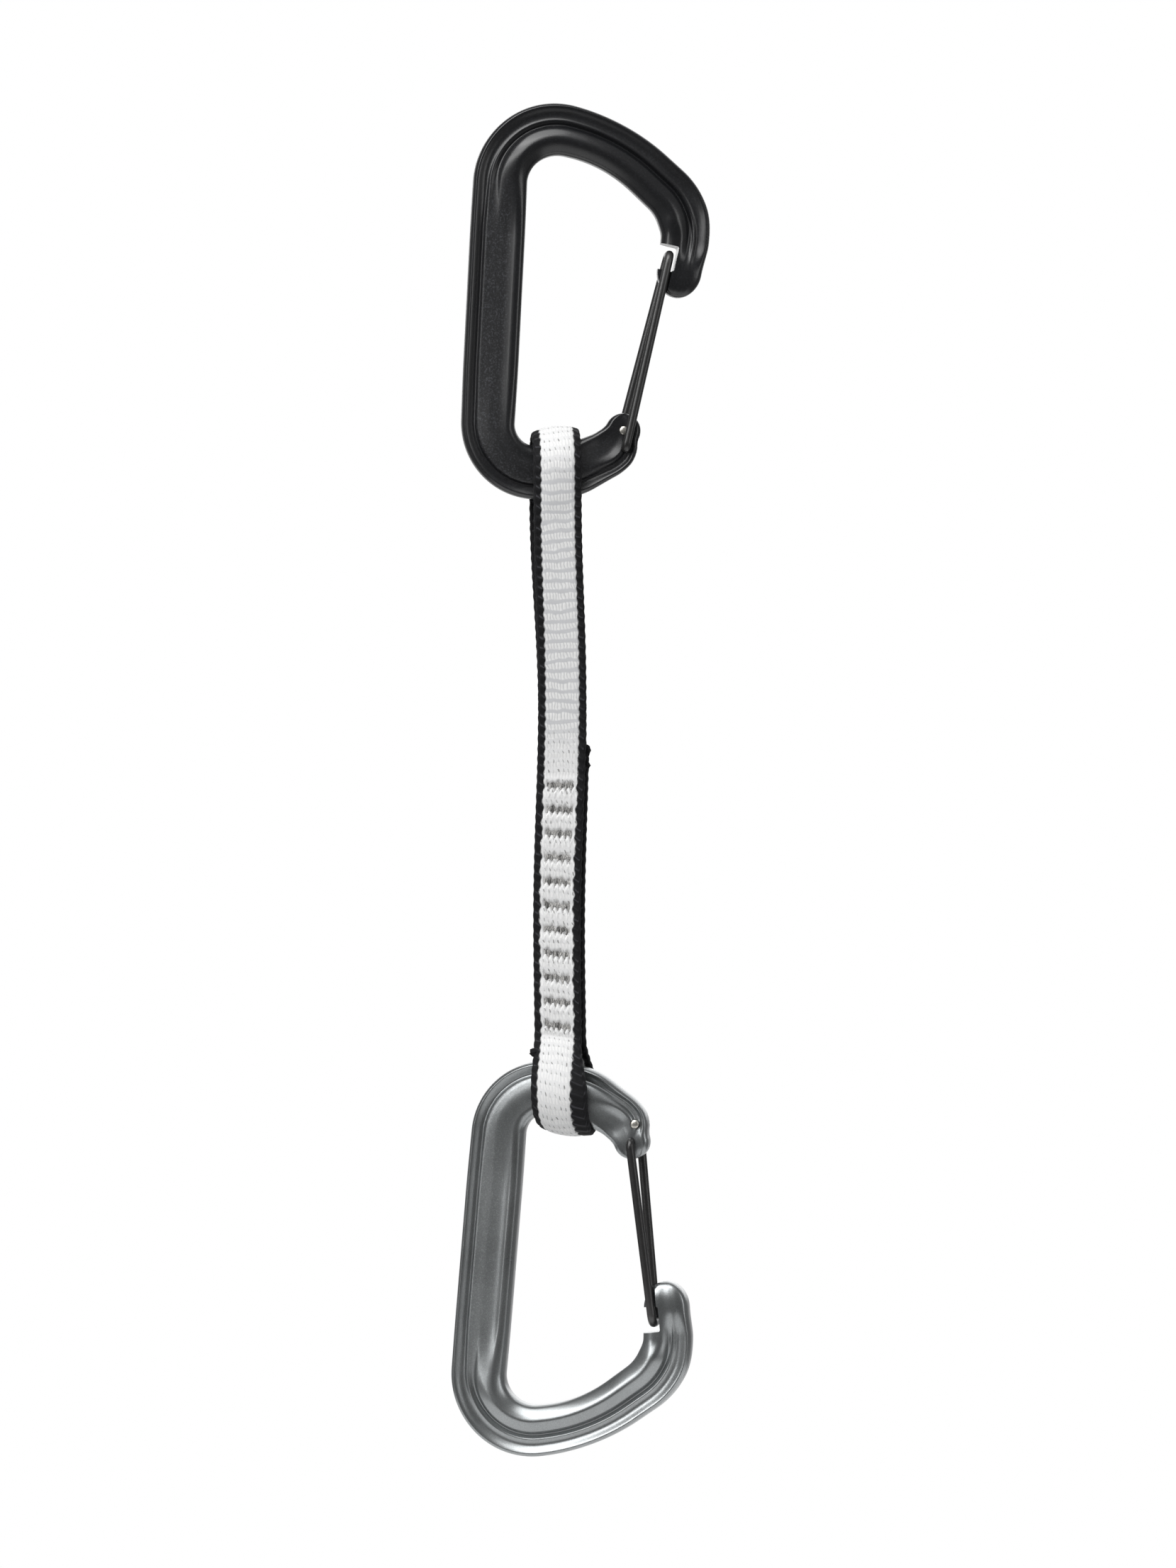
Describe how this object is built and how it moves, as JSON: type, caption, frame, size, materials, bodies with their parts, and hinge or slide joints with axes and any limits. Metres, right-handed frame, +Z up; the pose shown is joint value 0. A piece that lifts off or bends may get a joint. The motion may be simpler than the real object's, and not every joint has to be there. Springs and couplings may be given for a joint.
{
  "type": "climbing quickdraw",
  "caption": "Climbing quickdraw: a bar-tacked webbing sling joins a black wire-gate carabiner for the bolt hanger to a grey wire-gate carabiner for the rope.",
  "frame": {"origin": "on the inner edge of the upper carabiner's basket, where the bolt hanger bears", "axes": "+Z up along the hanging sling, +X from the spines towards the gates, +Y across the carabiners' thickness, away from the picture's viewer"},
  "size_m": [0.0588, 0.0194, 0.3088],
  "materials": {
    "black_anodised": "satin black anodised, finely grained",
    "grey_anodised": "satin grey anodised, finely grained",
    "dark_wire": "dark drawn spring wire",
    "white_webbing": "flat woven webbing, white with black selvedges",
    "grey_thread": "dense bar-tack stitching in grey thread"
  },
  "bodies": {
    "upper_carabiner": {"upper_frame": "black_anodised"},
    "upper_gate": {"upper_gate_wire": "dark_wire"},
    "upper_rear_pivot": {"upper_gate_rear_pin": "dark_wire"},
    "sling": {"sling_webbing": "white_webbing", "bar_tack_01": "grey_thread", "bar_tack_02": "grey_thread", "bar_tack_03": "grey_thread", "bar_tack_04": "grey_thread", "bar_tack_05": "grey_thread", "bar_tack_06": "grey_thread", "bar_tack_07": "grey_thread", "bar_tack_08": "grey_thread", "bar_tack_09": "grey_thread", "bar_tack_10": "grey_thread", "bar_tack_11": "grey_thread"},
    "lower_carabiner": {"lower_frame": "grey_anodised"},
    "lower_gate": {"lower_gate_wire": "dark_wire"},
    "lower_rear_pivot": {"lower_gate_rear_pin": "dark_wire"}
  },
  "joints": [
    {"name": "upper_gate_hinge", "type": "hinge", "parent": "upper_carabiner", "child": "upper_gate", "pos_m": [0.01496, 0.00105, -0.06686], "axis": [0.0698, -0.9976, 0], "range_deg": [0, 30], "stiffness_Nm_per_rad": 0.1, "springref_deg": -85.94},
    {"name": "upper_rear_hinge", "type": "hinge", "parent": "upper_carabiner", "child": "upper_rear_pivot", "pos_m": [0.01457, 0.00102, -0.06273], "axis": [0.0698, -0.9976, 0], "range_deg": [0, 30]},
    {"name": "upper_loop_swing", "type": "hinge", "parent": "upper_carabiner", "child": "sling", "pos_m": [-0.00086, -0.00006, -0.0715], "axis": [0.9938, 0.0695, 0.0872], "range_deg": [-100, 100]},
    {"name": "lower_loop_swing", "type": "hinge", "parent": "sling", "child": "lower_carabiner", "pos_m": [0.00024, -0.00006, -0.2136], "axis": [0.9781, -0.1549, -0.1392], "range_deg": [-90, 90]},
    {"name": "lower_gate_hinge", "type": "hinge", "parent": "lower_carabiner", "child": "lower_gate", "pos_m": [0.01769, -0.00282, -0.22079], "axis": [0.1564, 0.9877, 0], "range_deg": [0, 30], "stiffness_Nm_per_rad": 0.1, "springref_deg": -85.94},
    {"name": "lower_rear_hinge", "type": "hinge", "parent": "lower_carabiner", "child": "lower_rear_pivot", "pos_m": [0.01676, -0.00267, -0.22483], "axis": [0.1564, 0.9877, 0], "range_deg": [0, 30]}
  ],
  "couplings": [
    {"joint": "upper_rear_hinge", "follows": "upper_gate_hinge", "ratio": 1},
    {"joint": "lower_rear_hinge", "follows": "lower_gate_hinge", "ratio": 1}
  ]
}
